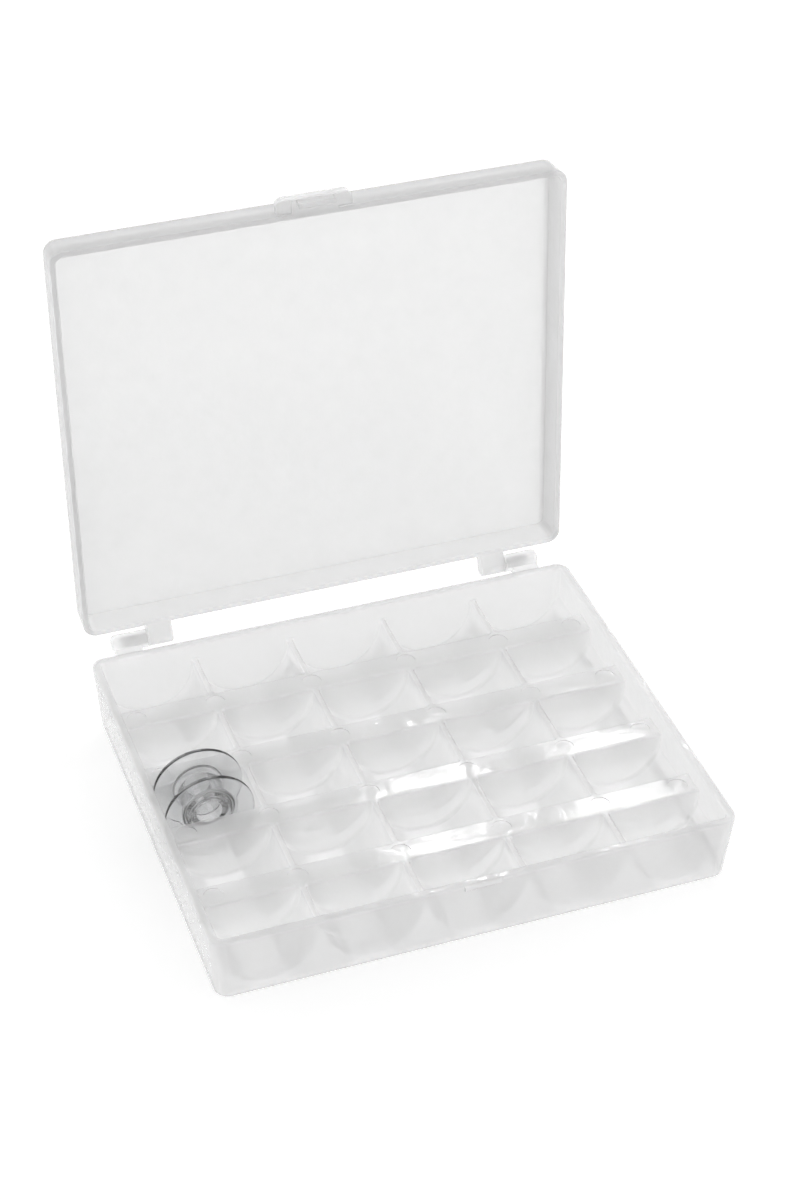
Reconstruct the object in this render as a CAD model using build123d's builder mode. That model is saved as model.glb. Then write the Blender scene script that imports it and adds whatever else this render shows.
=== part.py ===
"""Bobbin box: a hinged tray with a grid of cradles, its lid, and one bobbin.

Millimetres. X runs along the hinge, Y from the latch to the hinge, Z up. The origin is at the centre of
the tray's base, on the surface that the box stands on. The lid is modelled shut, then swung open.
"""

from build123d import *
import os

os.makedirs("parts", exist_ok=True)

# ---------------------------------------------------------------- driving dimensions

# bobbin
bobbin_diameter = 20.5
bobbin_hub_width = 11.4  # over the two hub faces
bobbin_rim_width = 10.6  # over the two flanges, at the rim
bobbin_bore = 6.0
bobbin_mouth = 9.1  # diameter of the cone that leads into the bore
bobbin_mouth_depth = 1.2
bobbin_hub_diameter = 10.2
hub_ring = 0.5  # flat ring round the mouth of the bore
flange_thickness = 1.0
flange_edge_radius = 0.3
hub_blend = 1.8  # fillet between hub and flange

# grid of cradles
columns = 5
rows = 5
cradle_clearance = 0.85  # between a bobbin's rim and its cradle, in radius
ridge_width = 1.25  # flat crest between two cradles of a row
row_play = 2.9  # length of a cradle beyond a bobbin's width
end_row_play = 2.55  # the same in the first and last row
divider_width = 6.3  # flat top of the cross dividers
ridge_rise = 0.7  # crests and dividers above the cradles' axes
cradle_end_lean = 0.2  # how far each end wall of a cradle leans in at its floor
cradle_end_radius = 0.8

# tray shell
rim_thickness = 2.0
rim_rise = 4.2  # rim above the dividers
floor_thickness = 1.0
cradle_shell = 1.8  # wall under a cradle's round side
divider_shell = 1.2  # wall of the hollow cross dividers
outer_lean = 1.2  # how far each outer wall leans in from the rim to the base
inner_lean = 0.9  # the same for the inner walls, from the rim to the floor
corner_radius = 3.2
base_edge_radius = 0.8
rim_edge_radius = 0.5
crest_edge_radius = 0.55  # along the ridges and dividers

# ejector marks on the dividers
mark_diameter = 4.5
mark_depth = 0.2
mark_inset = 4.0  # centre of the outermost marks from the inner face of the rim

# lid
lid_headroom = 2.2  # free height over a bobbin's rim when shut
lid_panel = 1.3
lid_wall = 1.4
lid_lean = 0.3  # how far the skirt leans in towards the panel
lid_setback = 1.0  # lid's front face behind the tray's
lid_gap = 0.1  # between the two rims when shut
lid_edge_radius = 0.8
lid_rim_radius = 0.25

# hinge
open_angle = 94.25  # from shut
hinge_reach = 3.5  # axis behind the back face of the rim
hinge_rise = 0.3  # axis above the rim
tray_knuckle_radius = 2.2
lid_knuckle_radius = 2.0
lid_ear_width = 6.0
tray_ear_width = 8.4
ear_inset = 18.0  # middle of a lid ear from the side of the tray
ear_gap = 0.35  # between the ears, side to side
ear_edge_radius = 1.1  # round the outer end of the tray ear
lid_ear_edge_radius = 0.6  # round the inner side of the lid ear
web_outer_inset = 0.5  # tray ear's web inside its knuckle, at the outer end
web_inner_inset = 1.7  # the same at the end beside the lid ear
web_drop = 4.6  # foot of the web below the rim
web_top_drop = 1.5  # head of the web below the rim
arm_rise = 0.4  # lid ear's arm above the lid's rim
arm_height = 2.8
pin_radius = 1.2
pin_length = 6.0
pin_end_radius = 0.8
pin_clearance = 0.08
pin_end_gap = 0.3

# latch
tab_width = 17.6
tab_reach = 3.4  # thumb tab in front of the skirt
tab_thickness = 2.0
tab_rise = 0.5  # underside of the tab above the lid's rim
tab_corner_radius = 1.8
block_width = 10.8
block_reach = 3.2
hook_width = 8.4
hook_thickness = 1.0
hook_drop = 2.0  # tip of the hook below the lid's rim
hook_bead = 0.35
catch_width = 8.6
catch_reach = 0.6
catch_drop = 0.65  # middle of the catch below the tray's rim
snap_clearance = 0.15

# rest
seat_gap = 0.1  # under the bobbin
bobbin_column = 0  # counted from the left
bobbin_row = 2  # counted from the front
bobbin_shift = 0.85  # towards the back of its cradle

# ---------------------------------------------------------------- sizes that follow

bobbin_radius = bobbin_diameter / 2
cradle_radius = bobbin_radius + cradle_clearance
column_pitch = 2 * cradle_radius + ridge_width
row_length = bobbin_hub_width + row_play
end_row_length = bobbin_hub_width + end_row_play
row_pitch = row_length + divider_width
cradle_axis_z = floor_thickness + cradle_radius
divider_z = cradle_axis_z + ridge_rise
tray_height = divider_z + rim_rise

outer_column_x = (columns - 1) / 2 * column_pitch
inner_width = 2 * (outer_column_x + cradle_radius)
outer_divider_y = (rows - 2) / 2 * row_pitch
inner_depth = 2 * (outer_divider_y + divider_width / 2 + end_row_length)
tray_width = inner_width + 2 * rim_thickness
tray_depth = inner_depth + 2 * rim_thickness
back_y = tray_depth / 2
front_y = -tray_depth / 2

column_xs = [column_pitch * (n - (columns - 1) / 2) for n in range(columns)]
column_places = [(x, 0) for x in column_xs]
divider_ys = [row_pitch * (n - (rows - 2) / 2) for n in range(rows - 1)]

lid_rim_z = tray_height + lid_gap
lid_inside_z = floor_thickness + seat_gap + bobbin_diameter + lid_headroom
lid_top_z = lid_inside_z + lid_panel
lid_front_y = front_y + lid_setback
lid_centre_y = (back_y + lid_front_y) / 2
lid_depth = back_y - lid_front_y
hinge_y = back_y + hinge_reach
hinge_z = tray_height + hinge_rise
hinge_axis = Axis((0, hinge_y, hinge_z), (1, 0, 0))
lid_ear_x = tray_width / 2 - ear_inset
lid_ear_side_x = lid_ear_x + lid_ear_width / 2
tray_ear_x = lid_ear_side_x + ear_gap + tray_ear_width / 2
hook_inner_y = front_y - catch_reach - snap_clearance - hook_bead

ridge_xs = [column_pitch * (n - (columns - 2) / 2) for n in range(columns - 1)]
outer_mark_x = inner_width / 2 - mark_inset
mark_xs = [-outer_mark_x, *ridge_xs, outer_mark_x]


def inner_lean_at(z):
    """Return how far the inner wall faces lean in at height z."""
    return inner_lean * (tray_height - z) / (tray_height - floor_thickness)


def leaning_block(levels, radius, centre_y=0.0):
    """Return a block with round corners, lofted through levels of (height, width, depth)."""
    with BuildPart() as block:
        for height, width, depth in levels:
            with BuildSketch(Plane.XY.offset(height)):
                with Locations((0, centre_y)):
                    RectangleRounded(width, depth, radius)
        loft()
    return block.part


def inner_block(low_z, high_z):
    """Return the space between the tray's inner wall faces from low_z to high_z."""
    levels = [
        (z, inner_width - 2 * inner_lean_at(z), inner_depth - 2 * inner_lean_at(z)) for z in (low_z, high_z)
    ]
    return leaning_block(levels, corner_radius - rim_thickness)


def cradle_space(low_y, high_y, radius, lean, end_radius=0.0):
    """Return the U-shaped space of one cradle on x = 0, from its bottom up to the dividers' tops.

    low_y and high_y are its ends at the top, and they lean in by lean at the floor.
    """
    bottom_z = cradle_axis_z - radius
    with BuildPart() as space:
        with BuildSketch(Plane.XZ):
            with Locations((0, cradle_axis_z)):
                Circle(radius)
                Rectangle(2 * radius, ridge_rise, align=(Align.CENTER, Align.MIN))
            with Locations((0, divider_z)):
                Rectangle(2 * radius, radius, align=(Align.CENTER, Align.MIN), mode=Mode.SUBTRACT)
        extrude(amount=tray_depth, both=True)
        with BuildSketch(Plane.YZ):
            with BuildLine():
                Polyline(
                    (low_y + lean, bottom_z),
                    (high_y - lean, bottom_z),
                    (high_y, divider_z),
                    (low_y, divider_z),
                    close=True,
                )
            make_face()
        extrude(amount=2 * radius, both=True, mode=Mode.INTERSECT)
        if end_radius:
            ends = space.faces().filter_by(lambda face: abs(face.normal_at().Y) > 0.9)
            top = space.faces().sort_by(Axis.Z)[-1]
            edges = [edge for edge in ends.edges() if edge not in top.edges()]
            fillet(edges, end_radius)
    return space.part


def row_middle(row):
    """Return the Y of the middle of a row's cradles."""
    return sum(row_ends(row, 0)) / 2


def row_ends(row, overlap):
    """Return the low and high ends of a row's cradles at the top, widened by overlap."""
    low_y = divider_ys[row - 1] + divider_width / 2 if row > 0 else -inner_depth / 2 + inner_lean_at(divider_z)
    high_y = divider_ys[row] - divider_width / 2 if row < rows - 1 else inner_depth / 2 - inner_lean_at(divider_z)
    return low_y - overlap, high_y + overlap


def crest_edges(edges):
    """Return the straight edges along the tops of the cradles."""
    level = [edge for edge in edges if abs(edge.center().Z - divider_z) < 0.01 and edge.length > ridge_width]
    inner_x = inner_width / 2 - inner_lean_at(divider_z) - 0.05
    inner_y = inner_depth / 2 - inner_lean_at(divider_z) - 0.05
    return [edge for edge in level if abs(edge.center().X) < inner_x and abs(edge.center().Y) < inner_y]


# ---------------------------------------------------------------- tray

base_width = tray_width - 2 * outer_lean
base_depth = tray_depth - 2 * outer_lean
tray_block = leaning_block([(0, base_width, base_depth), (tray_height, tray_width, tray_depth)], corner_radius)
rim_opening = inner_block(divider_z, tray_height)
cradle_bounds = inner_block(floor_thickness, divider_z)
hollow_bounds = inner_block(0, divider_z - divider_shell)

with BuildPart() as cradles:
    for row in range(rows):
        cradle = cradle_space(*row_ends(row, 0), cradle_radius, cradle_end_lean, cradle_end_radius)
        with Locations(*column_places):
            add(cradle)
    add(cradle_bounds, mode=Mode.INTERSECT)

with BuildPart() as underside:
    add(hollow_bounds)
    for row in range(rows):
        shell = cradle_space(*row_ends(row, divider_shell), cradle_radius + cradle_shell, cradle_end_lean)
        with Locations(*column_places):
            add(shell, mode=Mode.SUBTRACT)

# right ear: a knuckle with a blind pin bore, on a narrower web down the outside of the back wall
web_width = tray_ear_width - web_outer_inset - web_inner_inset
web_x = tray_ear_x + (web_inner_inset - web_outer_inset) / 2

with BuildPart() as tray_ear:
    with BuildSketch(Plane.YZ.offset(tray_ear_x)):
        with Locations((hinge_y, hinge_z)):
            Circle(tray_knuckle_radius)
    extrude(amount=tray_ear_width / 2, both=True)
    fillet(tray_ear.faces().sort_by(Axis.X)[-1].edges(), ear_edge_radius)
    with BuildSketch(Plane.YZ.offset(web_x)):
        with Locations((hinge_y, hinge_z)):
            Circle(tray_knuckle_radius - ear_edge_radius)
        with Locations((back_y - rim_thickness / 2, tray_height - web_drop)):
            Rectangle(rim_thickness / 3, web_drop - web_top_drop, align=(Align.CENTER, Align.MIN))
        make_hull()
    extrude(amount=web_width / 2, both=True)
    with BuildSketch(Plane((lid_ear_side_x, hinge_y, hinge_z), x_dir=(0, 1, 0), z_dir=(1, 0, 0))):
        Circle(pin_radius + pin_clearance)
    extrude(amount=pin_length + pin_end_gap, mode=Mode.SUBTRACT)

with BuildPart() as tray:
    add(tray_block)
    fillet(tray.faces().sort_by(Axis.Z)[0].edges(), base_edge_radius)
    add(rim_opening, mode=Mode.SUBTRACT)
    fillet(tray.faces().sort_by(Axis.Z)[-1].edges(), rim_edge_radius)
    add(cradles.part, mode=Mode.SUBTRACT)
    fillet(crest_edges(tray.edges()), crest_edge_radius)
    add(underside.part, mode=Mode.SUBTRACT)
    # ejector marks, sunk where the ridges meet the dividers and beside the side walls
    with BuildSketch(Plane.XY.offset(divider_z)):
        with Locations(*[(x, y) for x in mark_xs for y in divider_ys]):
            Circle(mark_diameter / 2)
    extrude(amount=-mark_depth, mode=Mode.SUBTRACT)
    # catch ridge under the front edge of the rim
    with BuildSketch(Plane.YZ):
        with Locations((front_y, tray_height - catch_drop)):
            Circle(catch_reach)
    extrude(amount=catch_width / 2, both=True)
    add(tray_ear.part)
    add(mirror(tray_ear.part, about=Plane.YZ, mode=Mode.PRIVATE))

tray.part.label = "tray"
export_step(tray.part, "parts/tray.step")

# ---------------------------------------------------------------- lid

lid_top_width = tray_width - 2 * lid_lean
lid_top_depth = lid_depth - 2 * lid_lean
lid_block = leaning_block(
    [(lid_rim_z, tray_width, lid_depth), (lid_top_z, lid_top_width, lid_top_depth)], corner_radius, lid_centre_y
)
lid_space = leaning_block(
    [
        (lid_rim_z, tray_width - 2 * lid_wall, lid_depth - 2 * lid_wall),
        (lid_inside_z, lid_top_width - 2 * lid_wall, lid_top_depth - 2 * lid_wall),
    ],
    corner_radius - lid_wall,
    lid_centre_y,
)

# right ear: an arm from the skirt to the knuckle, and the hinge pin
with BuildPart() as lid_ear:
    with BuildSketch(Plane.YZ.offset(lid_ear_x)):
        with Locations((hinge_y, hinge_z)):
            Circle(lid_knuckle_radius)
        with Locations((back_y - lid_wall / 2, lid_rim_z + arm_rise)):
            Rectangle(lid_wall / 3, arm_height, align=(Align.CENTER, Align.MIN))
        make_hull()
    extrude(amount=lid_ear_width / 2, both=True)
    inner_side = lid_ear.faces().sort_by(Axis.X)[0]
    fillet(inner_side.edges().filter_by(lambda edge: edge.center().Y > back_y), lid_ear_edge_radius)
    with BuildSketch(Plane((lid_ear_side_x, hinge_y, hinge_z), x_dir=(0, 1, 0), z_dir=(1, 0, 0))):
        Circle(pin_radius)
    extrude(amount=pin_length)
    fillet(lid_ear.faces().sort_by(Axis.X)[-1].edges(), pin_end_radius)

with BuildPart() as shut_lid:
    add(lid_block)
    fillet(shut_lid.faces().sort_by(Axis.Z)[-1].edges(), lid_edge_radius)
    add(lid_space, mode=Mode.SUBTRACT)
    fillet(shut_lid.faces().sort_by(Axis.Z)[0].edges(), lid_rim_radius)
    # thumb tab, with a thicker middle that carries the hook
    with BuildSketch(Plane.XY.offset(lid_rim_z + tab_rise)) as tab_outline:
        with Locations((0, lid_front_y + lid_wall / 2)):
            Rectangle(tab_width, tab_reach + lid_wall / 2, align=(Align.CENTER, Align.MAX))
        fillet(tab_outline.vertices().group_by(Axis.Y)[0], tab_corner_radius)
    extrude(amount=tab_thickness)
    with BuildSketch(Plane.XY.offset(lid_rim_z)):
        with Locations((0, lid_front_y + lid_wall / 2)):
            Rectangle(block_width, block_reach + lid_wall / 2, align=(Align.CENTER, Align.MAX))
    extrude(amount=tab_rise)
    with BuildSketch(Plane.YZ):
        with Locations((hook_inner_y, lid_rim_z)):
            Rectangle(hook_thickness, hook_drop, align=(Align.MAX, Align.MAX))
        with Locations((hook_inner_y, lid_rim_z - hook_drop + hook_bead)):
            Circle(hook_bead)
    extrude(amount=hook_width / 2, both=True)
    add(lid_ear.part)
    add(mirror(lid_ear.part, about=Plane.YZ, mode=Mode.PRIVATE))

with BuildPart() as lid:
    add(shut_lid.part.rotate(hinge_axis, -open_angle))

lid.part.label = "lid"
export_step(lid.part, "parts/lid.step")

# ---------------------------------------------------------------- bobbin

hub_face_y = bobbin_hub_width / 2
flange_face_y = bobbin_rim_width / 2

# spool with its axis on Y and its middle at the origin
with BuildPart() as spool:
    with BuildSketch(Plane.XY):
        with BuildLine():
            Polyline(
                (bobbin_bore / 2, 0),
                (bobbin_bore / 2, hub_face_y - bobbin_mouth_depth),
                (bobbin_mouth / 2, hub_face_y),
                (bobbin_mouth / 2 + hub_ring, hub_face_y),
                (bobbin_mouth / 2 + hub_ring, flange_face_y),
                (bobbin_radius, flange_face_y),
                (bobbin_radius, flange_face_y - flange_thickness),
                (bobbin_hub_diameter / 2, flange_face_y - flange_thickness),
                (bobbin_hub_diameter / 2, 0),
                close=True,
            )
        make_face()
        mirror(about=Plane.XZ)
    revolve(axis=Axis.Y)
    hub = spool.faces().filter_by(GeomType.CYLINDER).filter_by(
        lambda face: abs(face.radius - bobbin_hub_diameter / 2) < 0.01
    )
    fillet(hub.edges().filter_by(GeomType.CIRCLE), hub_blend)
    rims = spool.edges().filter_by(GeomType.CIRCLE).filter_by(lambda edge: edge.radius > bobbin_radius - 0.01)
    fillet(rims, flange_edge_radius)

bobbin_y = row_middle(bobbin_row) + bobbin_shift

with BuildPart() as bobbin:
    with Locations((column_xs[bobbin_column], bobbin_y, floor_thickness + seat_gap + bobbin_radius)):
        add(spool.part)

bobbin.part.label = "bobbin"
export_step(bobbin.part, "parts/bobbin.step")

for piece in (tray, lid, bobbin):
    print(piece.part.label, piece.part.bounding_box(), "volume", round(piece.part.volume, 1))
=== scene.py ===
# %% [markdown]
# # A frosted box for sewing bobbins
#
# The box is two mouldings of natural polypropylene, a tray with a grid of round-bottomed cradles and a
# lid on two snap hinges, and it holds one clear bobbin. Its shape is all in the CAD model, so Blender's
# share is light, camera and finish: how thin milky plastic passes, scatters and mirrors light.
#
# The first step loads the CAD model as a fixed frame and measures its tray, lid and bobbin.

# %% Load the frame
import math

import bpy
from mathutils import Matrix, Vector


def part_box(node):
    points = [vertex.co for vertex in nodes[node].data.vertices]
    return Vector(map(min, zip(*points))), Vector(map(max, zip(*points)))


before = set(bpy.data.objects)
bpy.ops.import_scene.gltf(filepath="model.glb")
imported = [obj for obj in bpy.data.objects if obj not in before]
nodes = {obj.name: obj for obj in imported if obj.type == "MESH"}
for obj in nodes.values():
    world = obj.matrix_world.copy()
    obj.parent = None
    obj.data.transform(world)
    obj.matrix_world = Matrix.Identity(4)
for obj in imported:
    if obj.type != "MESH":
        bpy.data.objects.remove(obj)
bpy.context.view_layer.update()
tray_low, tray_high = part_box("tray")
lid_low, lid_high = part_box("lid")
bobbin_low, bobbin_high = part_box("bobbin")
print("nodes:", sorted(nodes), "tray from", tuple(tray_low), "to", tuple(tray_high))
print("lid from", tuple(lid_low), "to", tuple(lid_high))
print("bobbin from", tuple(bobbin_low), "to", tuple(bobbin_high))

# %% [markdown]
# ## Camera
#
# A long lens keeps the perspective mild. The camera stands about 0.6 m away, to the left and above, and
# looks down at the middle of the open box. Its turn, drop and roll are written as angles, and the three
# axes of the camera are worked out from them, because that is easier to read than a matrix.

# %% Camera
camera_place = Vector((-0.1600, -0.4300, 0.4069))
camera_turn = math.radians(20.25)  # to the right of straight ahead
camera_drop = math.radians(37.41)  # below level
camera_roll = math.radians(0.81)
camera_lens_mm = 119.9
sensor_width_mm = 36.0

ahead = Vector(
    (
        math.sin(camera_turn) * math.cos(camera_drop),
        math.cos(camera_turn) * math.cos(camera_drop),
        -math.sin(camera_drop),
    )
)
level_right = ahead.cross(Vector((0, 0, 1))).normalized()
level_up = level_right.cross(ahead)
right = level_right * math.cos(camera_roll) + level_up * math.sin(camera_roll)
up = level_up * math.cos(camera_roll) - level_right * math.sin(camera_roll)

lens = bpy.data.cameras.new("camera")
lens.sensor_fit = "HORIZONTAL"
lens.sensor_width = sensor_width_mm
lens.lens = camera_lens_mm
lens.clip_start = 0.01
camera = bpy.data.objects.new("camera", lens)
bpy.context.scene.collection.objects.link(camera)
camera.matrix_world = Matrix.Translation(camera_place) @ Matrix((right, up, -ahead)).transposed().to_4x4()
bpy.context.scene.camera = camera
print("camera at", tuple(camera_place), "looks along", tuple(round(c, 3) for c in ahead))

# %% [markdown]
# ## Helpers for nodes
#
# The room and every finish below are trees of nodes. Making a node, setting it and linking it takes
# several lines of Blender's own calls, so two short helpers do that, and the trees then read like sums.
# The Standard view shows a colour about as it is written, which suits an object that is nearly white.

# %% View and node helpers
scene = bpy.context.scene
scene.view_settings.view_transform = "Standard"


def linked(tree, kind, settings=(), **sources):
    """A node whose named inputs are linked to sockets or set to plain values."""
    node = tree.nodes.new(kind)
    for key, value in settings:
        setattr(node, key, value)
    for name, source in sources.items():
        target = node.inputs[name.replace("_", " ")]
        if isinstance(source, bpy.types.NodeSocket):
            tree.links.new(source, target)
        else:
            target.default_value = source
    return node


def maths(tree, operation, *values):
    """The output of one Math node."""
    node = tree.nodes.new("ShaderNodeMath")
    node.operation = operation
    for target, source in zip(node.inputs, values):
        if isinstance(source, bpy.types.NodeSocket):
            tree.links.new(source, target)
        else:
            target.default_value = source
    return node.outputs[0]


print("view transform:", scene.view_settings.view_transform)

# %% [markdown]
# ## Light on a white table
#
# Frosted plastic shows what is behind it, so the surroundings are part of its finish. They are a white
# light tent that is open on the side of the camera and gives less light from overhead. Looked at
# directly it is all white. The opening gives the box nearly as much light as the walls do, but a ray that
# is mirrored or passes through glass finds it at a fifth of their strength. Clear plastic needs something
# dark to mirror and bend: in an all-white room its rims would hardly show.

# %% Values and helpers of the light tent
tent_fill = 1.0  # light that the tent gives
ceiling_share = 0.45  # of it, from overhead
ceiling_edge = (0.5, 0.95)  # upward part of a direction where the ceiling starts, and where it is full
opening_fill = 0.9  # share of the light from the middle of the opening
opening_seen = 0.2  # the same, for rays that look into the opening
opening_towards = Vector((-0.27, -0.76, 0.59))
opening_edge = (0.35, 0.85)  # likeness to that direction where the opening starts, and where it is full


def falling(tree, value, start, end, share):
    """A socket that falls from 1 to share while value goes from start to end."""
    return linked(
        tree, "ShaderNodeMapRange", Value=value, From_Min=start, From_Max=end, To_Min=1.0, To_Max=share
    ).outputs["Result"]


def seen_rays(tree):
    """A socket that is 1 for rays that look at something, and 0 for rays that only gather light."""
    path = tree.nodes.new("ShaderNodeLightPath")
    mirrored = maths(tree, "MAXIMUM", path.outputs["Is Camera Ray"], path.outputs["Is Glossy Ray"])
    return maths(tree, "MAXIMUM", mirrored, path.outputs["Is Transmission Ray"])


print("the tent opens towards", tuple(round(c, 2) for c in opening_towards))

# %% [markdown]
# The tent is one Background, and only its strength changes with the direction of a ray: less and less
# towards overhead, and less and less towards the middle of the opening.

# %% Light tent
world = bpy.data.worlds.new("light tent")
scene.world = world
world.use_nodes = True
sky = world.node_tree
sky.nodes.clear()
direction = sky.nodes.new("ShaderNodeTexCoord").outputs["Generated"]
heights = linked(sky, "ShaderNodeSeparateXYZ", Vector=direction)
facing = sky.nodes.new("ShaderNodeVectorMath")
facing.operation = "DOT_PRODUCT"
facing.inputs[1].default_value = opening_towards.normalized()
sky.links.new(direction, facing.inputs[0])
ceiling = falling(sky, heights.outputs["Z"], *ceiling_edge, ceiling_share)
opening_share = linked(
    sky, "ShaderNodeMapRange", Value=seen_rays(sky), To_Min=opening_fill, To_Max=opening_seen
)
opening = falling(sky, facing.outputs["Value"], *opening_edge, opening_share.outputs["Result"])
tent = maths(sky, "MULTIPLY", maths(sky, "MULTIPLY", ceiling, opening), tent_fill)
camera_path = sky.nodes.new("ShaderNodeLightPath")
strength = maths(sky, "MAXIMUM", tent, camera_path.outputs["Is Camera Ray"])
sky_light = linked(sky, "ShaderNodeBackground", Color=(1, 1, 1, 1), Strength=strength)
linked(sky, "ShaderNodeOutputWorld", Surface=sky_light.outputs["Background"])
print("tent gives", tent_fill, "and overhead", ceiling_share, "of it, the opening", opening_fill, "of it")

# %% [markdown]
# Light enters this box through many thin walls, and each wall is two surfaces. The renderer follows a
# ray through a set number of them and then drops it as black, so the limits are raised above Blender's
# own.

# %% Depth of light
scene.cycles.max_bounces = 16
scene.cycles.diffuse_bounces = 6
scene.cycles.transparent_max_bounces = 24
print("rays pass up to", scene.cycles.transparent_max_bounces, "see-through surfaces")

# %% [markdown]
# The table is white paint that keeps the box's shadow. A little glow, only for rays that look at it,
# lifts the open table to full white, and the shadow stays a soft grey.

# %% Table
table_size = 6.0
table_grey = 0.90
table_roughness = 0.9
table_glow = 0.40

table_mesh = bpy.data.meshes.new("table")
half = table_size / 2
table_corners = [(-half, -half, 0), (half, -half, 0), (half, half, 0), (-half, half, 0)]
table_mesh.from_pydata(table_corners, [], [(0, 1, 2, 3)])
table = bpy.data.objects.new("table", table_mesh)
scene.collection.objects.link(table)

table_paint = bpy.data.materials.new("white table")
table_paint.use_nodes = True
paint = table_paint.node_tree
paint_shader = paint.nodes["Principled BSDF"]
paint_shader.inputs["Base Color"].default_value = (table_grey, table_grey, table_grey, 1)
paint_shader.inputs["Roughness"].default_value = table_roughness
paint_shader.inputs["Specular IOR Level"].default_value = 0.0
paint_shader.inputs["Emission Color"].default_value = (1, 1, 1, 1)
glow = maths(paint, "MULTIPLY", seen_rays(paint), table_glow)
paint.links.new(glow, paint_shader.inputs["Emission Strength"])
table_mesh.materials.append(table_paint)
print("table", table_size, "m across")

# %% [markdown]
# Two softboxes hang level behind the box, where a level plastic face mirrors them into the camera. The
# longer one, the strip, reaches the right-hand end of the two front dividers and the small one their
# middle.

# %% Softboxes
softbox_height = 0.604


def softbox(name, centre, size, radiance):
    """A rectangular lamp that hangs level and shines down, with a given radiance."""
    lamp = bpy.data.lights.new(name, "AREA")
    lamp.shape = "RECTANGLE"
    lamp.size, lamp.size_y = size
    lamp.energy = radiance * size[0] * size[1] * math.pi
    holder = bpy.data.objects.new(name, lamp)
    scene.collection.objects.link(holder)
    holder.location = centre
    print(name, "gives", round(lamp.energy, 2), "W")


softbox("strip softbox", centre=(0.342, 0.589, softbox_height), size=(0.048, 0.080), radiance=22.0)
softbox("small softbox", centre=(0.240, 0.595, softbox_height), size=(0.050, 0.060), radiance=60.0)

# %% [markdown]
# ## Moulded surface
#
# Plastic shrinks as it sets, so a face that is flat in the mould keeps a faint ripple, which breaks a
# reflection into pieces. The flat walls of the mesh have few faces and can't carry it, so a Bump node
# does. One node group makes the ripple from two noises, a slow swell and a fine orange peel. It also lets
# the swell vary the roughness, and gives it out as a cloudiness for the milk.

# %% Ripple group


def group_socket(group, name, direction, kind, value=None):
    """Adds one named socket to a node group."""
    socket = group.interface.new_socket(name=name, in_out=direction, socket_type=kind)
    if value is not None:
        socket.default_value = value


ripple = bpy.data.node_groups.new("moulded ripple", "ShaderNodeTree")
group_socket(ripple, "Swell Size", "INPUT", "NodeSocketFloat", 220.0)
group_socket(ripple, "Peel Size", "INPUT", "NodeSocketFloat", 420.0)
group_socket(ripple, "Peel Share", "INPUT", "NodeSocketFloat", 0.2)
group_socket(ripple, "Roughness", "INPUT", "NodeSocketFloat", 0.35)
group_socket(ripple, "Cloud Range", "INPUT", "NodeSocketFloat", 0.05)
group_socket(ripple, "Height", "OUTPUT", "NodeSocketFloat")
group_socket(ripple, "Roughness", "OUTPUT", "NodeSocketFloat")
group_socket(ripple, "Cloud", "OUTPUT", "NodeSocketFloat")
print("moulded ripple:", [s.name for s in ripple.interface.items_tree])

# %% [markdown]
# Both noises are read in the object's own coordinates, so the ripple rides on the lid when it turns. A
# noise lies about evenly round one half, and that half is taken off before it moves the roughness.

# %% Ripple nodes
swell_detail = 1.0
peel_detail = 2.0
noise_middle = 0.5

take = ripple.nodes.new("NodeGroupInput").outputs
place = ripple.nodes.new("ShaderNodeTexCoord").outputs["Object"]
swell = linked(ripple, "ShaderNodeTexNoise", Vector=place, Scale=take["Swell Size"], Detail=swell_detail)
peel = linked(ripple, "ShaderNodeTexNoise", Vector=place, Scale=take["Peel Size"], Detail=peel_detail)
cloud = swell.outputs["Fac"]
height = linked(ripple, "ShaderNodeMix", Factor=take["Peel Share"], A=cloud, B=peel.outputs["Fac"])
drift = maths(ripple, "SUBTRACT", cloud, noise_middle)
cloudy_roughness = maths(ripple, "MULTIPLY_ADD", drift, take["Cloud Range"], take["Roughness"])
linked(
    ripple, "NodeGroupOutput", Height=height.outputs["Result"], Roughness=cloudy_roughness, Cloud=cloud
)
print("moulded ripple has", len(ripple.nodes), "nodes")

# %% [markdown]
# ## Thick edges and painted shade
#
# At a rim, a rib or a corner the light goes through more milk than it does in a flat wall, so edges hide
# more. They also get a darker colour, which is painted shade: it draws the grey outlines that bent and
# mirrored light gives the rims, and it darkens the creases as well. The outer walls hide more too, for a
# reason that isn't known here, and get the same painted shade for the dimmer light that reaches them.
# One node group finds both and mixes the inner colour and haze towards the edge's.

# %% Edge group
edges = bpy.data.node_groups.new("thick edges and painted shade", "ShaderNodeTree")
group_socket(edges, "Reach", "INPUT", "NodeSocketFloat", 0.0010)
group_socket(edges, "Contrast", "INPUT", "NodeSocketFloat", 1.2)
group_socket(edges, "Inner Half", "INPUT", "NodeSocketVector")
group_socket(edges, "Outer Share", "INPUT", "NodeSocketFloat", 0.4)
group_socket(edges, "Wall Colour", "INPUT", "NodeSocketColor")
# Edge Colour is painted shade, laid on the edges, the creases and the outer walls.
group_socket(edges, "Edge Colour", "INPUT", "NodeSocketColor")
group_socket(edges, "Wall Haze", "INPUT", "NodeSocketFloat", 0.3)
group_socket(edges, "Edge Haze", "INPUT", "NodeSocketFloat", 0.6)
group_socket(edges, "Colour", "OUTPUT", "NodeSocketColor")
group_socket(edges, "Haze", "OUTPUT", "NodeSocketFloat")
given = edges.nodes.new("NodeGroupInput").outputs
print("thick edges and painted shade:", [s.name for s in edges.interface.items_tree])

# %% [markdown]
# A Bevel node finds the edges: near one, its smoothed normal leaves the true one. It is a render-time
# effect that needs no extra faces.

# %% Mask of the edges
bevel_samples = 3

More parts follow.
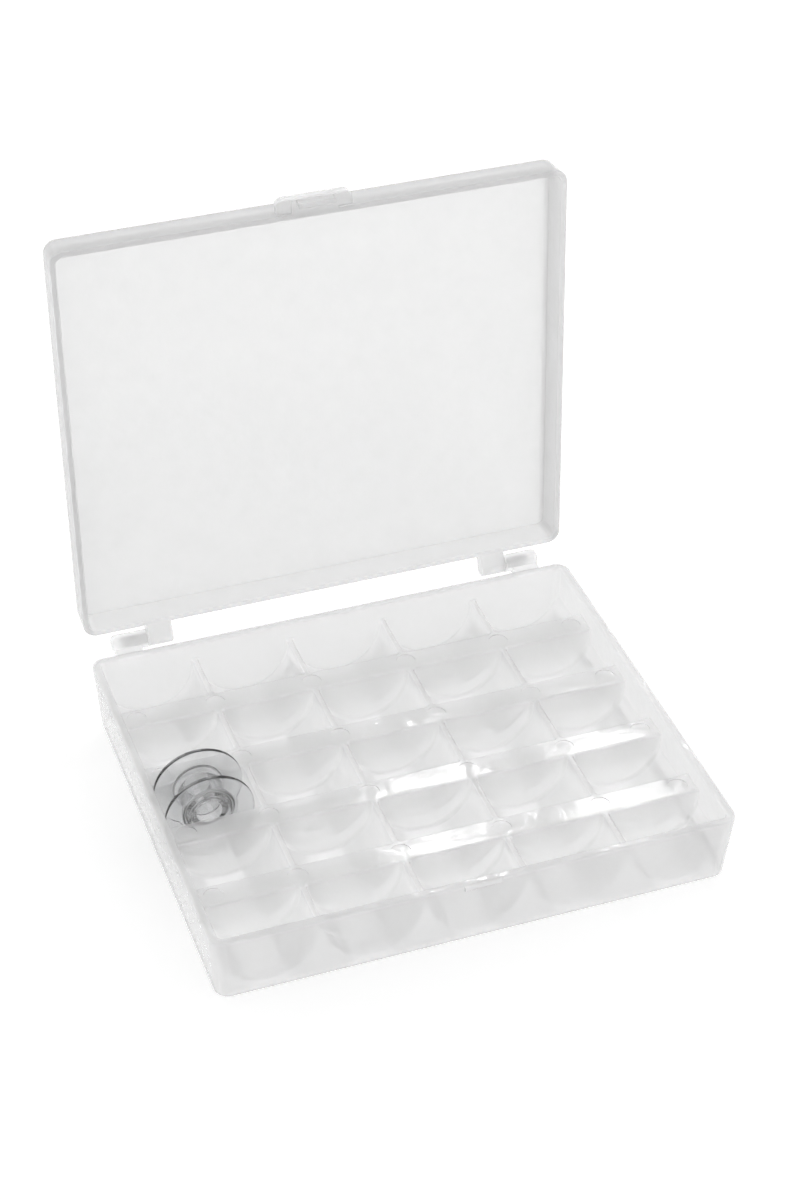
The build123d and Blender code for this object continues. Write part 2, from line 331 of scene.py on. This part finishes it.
bevel = linked(edges, "ShaderNodeBevel", [("samples", bevel_samples)], Radius=given["Reach"])
true_normal = edges.nodes.new("ShaderNodeNewGeometry").outputs["Normal"]
likeness = edges.nodes.new("ShaderNodeVectorMath")
likeness.operation = "DOT_PRODUCT"
edges.links.new(bevel.outputs["Normal"], likeness.inputs[0])
edges.links.new(true_normal, likeness.inputs[1])
turn = maths(edges, "SUBTRACT", 1.0, likeness.outputs["Value"])
edge_mask = maths(edges, "MINIMUM", maths(edges, "MULTIPLY", turn, given["Contrast"]), 1.0)
print("edges are found with", bevel_samples, "bevel samples")

# %% [markdown]
# The outer walls get the painted shade too. They can't be told from the cradles by the way they face, so
# they are found by how far out they lie. The mask starts at a given distance from the origin along each
# axis, and ends just outside the wall, which keeps it off what stands out from the box, such as the hinge
# ears and the tab's end.

# %% Mask of the painted shade on the outer walls
wall_full = 0.0006  # m past the start at which the mask is full
wall_end = (0.0022, 0.0030)  # m past the start over which it fades away again


def vector_maths(tree, operation, *values):
    """The vector output of one Vector Math node."""
    node = tree.nodes.new("ShaderNodeVectorMath")
    node.operation = operation
    for target, source in zip(node.inputs, values):
        tree.links.new(source, target)
    return node.outputs["Vector"]


outward = vector_maths(edges, "ABSOLUTE", edges.nodes.new("ShaderNodeTexCoord").outputs["Object"])
past_start = vector_maths(edges, "SUBTRACT", outward, given["Inner Half"])
beyond = linked(edges, "ShaderNodeSeparateXYZ", Vector=past_start).outputs
farthest = maths(edges, "MAXIMUM", maths(edges, "MAXIMUM", beyond["X"], beyond["Y"]), beyond["Z"])
in_wall = linked(
    edges, "ShaderNodeMapRange", Value=farthest, From_Max=wall_full, To_Max=given["Outer Share"]
)
past_wall = falling(edges, farthest, *wall_end, 0.0)
# This mask lays painted shade on the outer walls.
outer_wall_shade_mask = maths(edges, "MULTIPLY", in_wall.outputs["Result"], past_wall)
print("outer walls are found over", wall_end[0], "m")

# %% [markdown]
# Where the two masks meet, the stronger one counts. It mixes the colour and the haze alike, and the
# colour it mixes in is painted shade.

# %% Mixing in the painted shade
mask = maths(edges, "MAXIMUM", edge_mask, outer_wall_shade_mask)
colour_with_painted_shade = linked(
    edges,
    "ShaderNodeMix",
    [("data_type", "RGBA")],
    Factor=mask,
    A=given["Wall Colour"],
    B=given["Edge Colour"],
)
edge_haze = linked(
    edges, "ShaderNodeMapRange", Value=mask, To_Min=given["Wall Haze"], To_Max=given["Edge Haze"]
)
linked(
    edges, "NodeGroupOutput", Colour=colour_with_painted_shade.outputs["Result"], Haze=edge_haze.outputs["Result"]
)
print("thick edges and painted shade has", len(edges.nodes), "nodes")

# %% [markdown]
# ## Frosted polypropylene
#
# Natural polypropylene is milky because its crystals scatter light inside it. A scattering volume would
# be the closer model, but as a rule it needs many more samples to render clean, and it wasn't tried here.
# Instead each surface is partly see-through, and its Alpha is the haze, the share of the view that it
# hides. What it hides the view with is Subsurface light, which carries the glow of a lit wall round into
# its shaded side. The skin is glossy, so it still mirrors the softboxes.

# %% Frosted plastic
plastic_ior = 1.49
skin_gloss = 1.0  # twice Blender's own
glow_depth = 0.003  # m that light spreads inside the plastic
frosted_peel_share = 0.6


def grey(level):
    """A neutral colour with full alpha."""
    return (level, level, level, 1.0)


def frosted(
    name, inner_half, outer_share, clear, milky, edge, haze, edge_haze, roughness, ripple_depth
):
    """Milky polypropylene with a glossy moulded skin, and painted shade at its edges and outer walls."""
    material = bpy.data.materials.new(name)
    material.use_nodes = True
    tree = material.node_tree
    shader = tree.nodes["Principled BSDF"]
    shader.inputs["IOR"].default_value = plastic_ior
    shader.inputs["Specular IOR Level"].default_value = skin_gloss
    shader.inputs["Subsurface Weight"].default_value = 1.0
    shader.inputs["Subsurface Radius"].default_value = (1.0, 1.0, 1.0)
    shader.inputs["Subsurface Scale"].default_value = glow_depth
    surface = linked(
        tree,
        "ShaderNodeGroup",
        [("node_tree", ripple)],
        Roughness=roughness,
        Peel_Share=frosted_peel_share,
    )
    milk = linked(
        tree,
        "ShaderNodeMix",
        [("data_type", "RGBA")],
        Factor=surface.outputs["Cloud"],
        A=grey(clear),
        B=grey(milky),
    )
    rim = linked(
        tree,
        "ShaderNodeGroup",
        [("node_tree", edges)],
        Inner_Half=inner_half,
        Outer_Share=outer_share,
        Wall_Colour=milk.outputs["Result"],
        Edge_Colour=grey(edge),
        Wall_Haze=haze,
        Edge_Haze=edge_haze,
    )
    tree.links.new(rim.outputs["Colour"], shader.inputs["Base Color"])
    tree.links.new(rim.outputs["Haze"], shader.inputs["Alpha"])
    tree.links.new(surface.outputs["Roughness"], shader.inputs["Roughness"])
    bump = linked(tree, "ShaderNodeBump", Distance=ripple_depth, Height=surface.outputs["Height"])
    tree.links.new(bump.outputs["Normal"], shader.inputs["Normal"])
    print(name, "hides", haze, "of what is behind each surface")
    return material


print("light spreads", glow_depth, "m inside the frosted plastic")

# %% [markdown]
# The tray and the lid are the same plastic, but each moulding has its own colours and hazes. The lid's
# greyer clear and milky colours are painted shade: the open lid stands in more light than the tray's
# cells, and its colour is darkened to match. They were tuned on trial renders, moulding by moulding, and
# aren't measured values of the plastic. The inner half says how far from the origin the outer walls
# start, in metres: for the tray its sides, front and back. The lid is drawn standing open, so for it they
# are its sides and, up from the table, its upper edge.

# %% Tray and lid
no_wall = 1.0  # m, farther out than the box reaches, where an axis has no outer wall to find

nodes["tray"].data.materials[0] = frosted(
    "frosted tray plastic",
    inner_half=(0.0578, 0.0478, no_wall),
    outer_share=0.60,
    clear=0.985,
    milky=0.99,
    edge=0.50,
    # edge is the painted shade colour of edges, creases and outer walls
    haze=0.25,
    edge_haze=0.38,
    roughness=0.05,
    ripple_depth=0.00012,
)
nodes["lid"].data.materials[0] = frosted(
    "frosted lid plastic",
    inner_half=(0.0574, no_wall, 0.1172),
    outer_share=0.80,
    # the lid's clear and milky greys are darkened as painted shade
    clear=0.80,
    milky=0.84,
    # edge is the painted shade colour of edges, creases and outer walls
    edge=0.58,
    haze=0.35,
    edge_haze=0.50,
    roughness=0.08,
    ripple_depth=0.0001,
)

# %% [markdown]
# ## Clear bobbin
#
# The bobbin is taken to be clear polystyrene, so it is glass to the renderer: full Transmission, and a
# Volume Absorption that greys the light by the depth of plastic it crosses. That grey is far stronger
# than clear polystyrene's and is painted shade: it stands in for the dark that bent and mirrored light
# gives the rims and the ring round the bore. Thin flanges stay clear, while light that runs far inside,
# as in a rim or the ring round the bore, comes out darker. A faint ripple in the skin gives the flanges
# their small glints.

# %% Clear bobbin
bobbin_tint = (0.97, 0.975, 0.98, 1)
bobbin_ior = 1.59
bobbin_roughness = 0.03
bobbin_cloud_range = 0.02
bobbin_swell_size = 120.0
bobbin_ripple_depth = 0.00003
# grey absorption as painted shade on the rims and the ring round the bore
bobbin_shade_absorption_colour = (0.5, 0.5, 0.5, 1)
bobbin_shade_absorption_density = 110.0  # per m

clear_plastic = bpy.data.materials.new("clear polystyrene")
clear_plastic.use_nodes = True
glass = clear_plastic.node_tree
clear_shader = glass.nodes["Principled BSDF"]
clear_shader.inputs["Base Color"].default_value = bobbin_tint
clear_shader.inputs["IOR"].default_value = bobbin_ior
clear_shader.inputs["Transmission Weight"].default_value = 1.0
skin = linked(
    glass,
    "ShaderNodeGroup",
    [("node_tree", ripple)],
    Roughness=bobbin_roughness,
    Cloud_Range=bobbin_cloud_range,
    Swell_Size=bobbin_swell_size,
)
glass_bump = linked(
    glass, "ShaderNodeBump", Distance=bobbin_ripple_depth, Height=skin.outputs["Height"]
)
glass.links.new(skin.outputs["Roughness"], clear_shader.inputs["Roughness"])
glass.links.new(glass_bump.outputs["Normal"], clear_shader.inputs["Normal"])
depth = linked(
    glass, "ShaderNodeVolumeAbsorption", Color=bobbin_shade_absorption_colour, Density=bobbin_shade_absorption_density
)
glass.links.new(depth.outputs["Volume"], glass.nodes["Material Output"].inputs["Volume"])
nodes["bobbin"].data.materials[0] = clear_plastic
print("clear polystyrene bends light by", bobbin_ior)
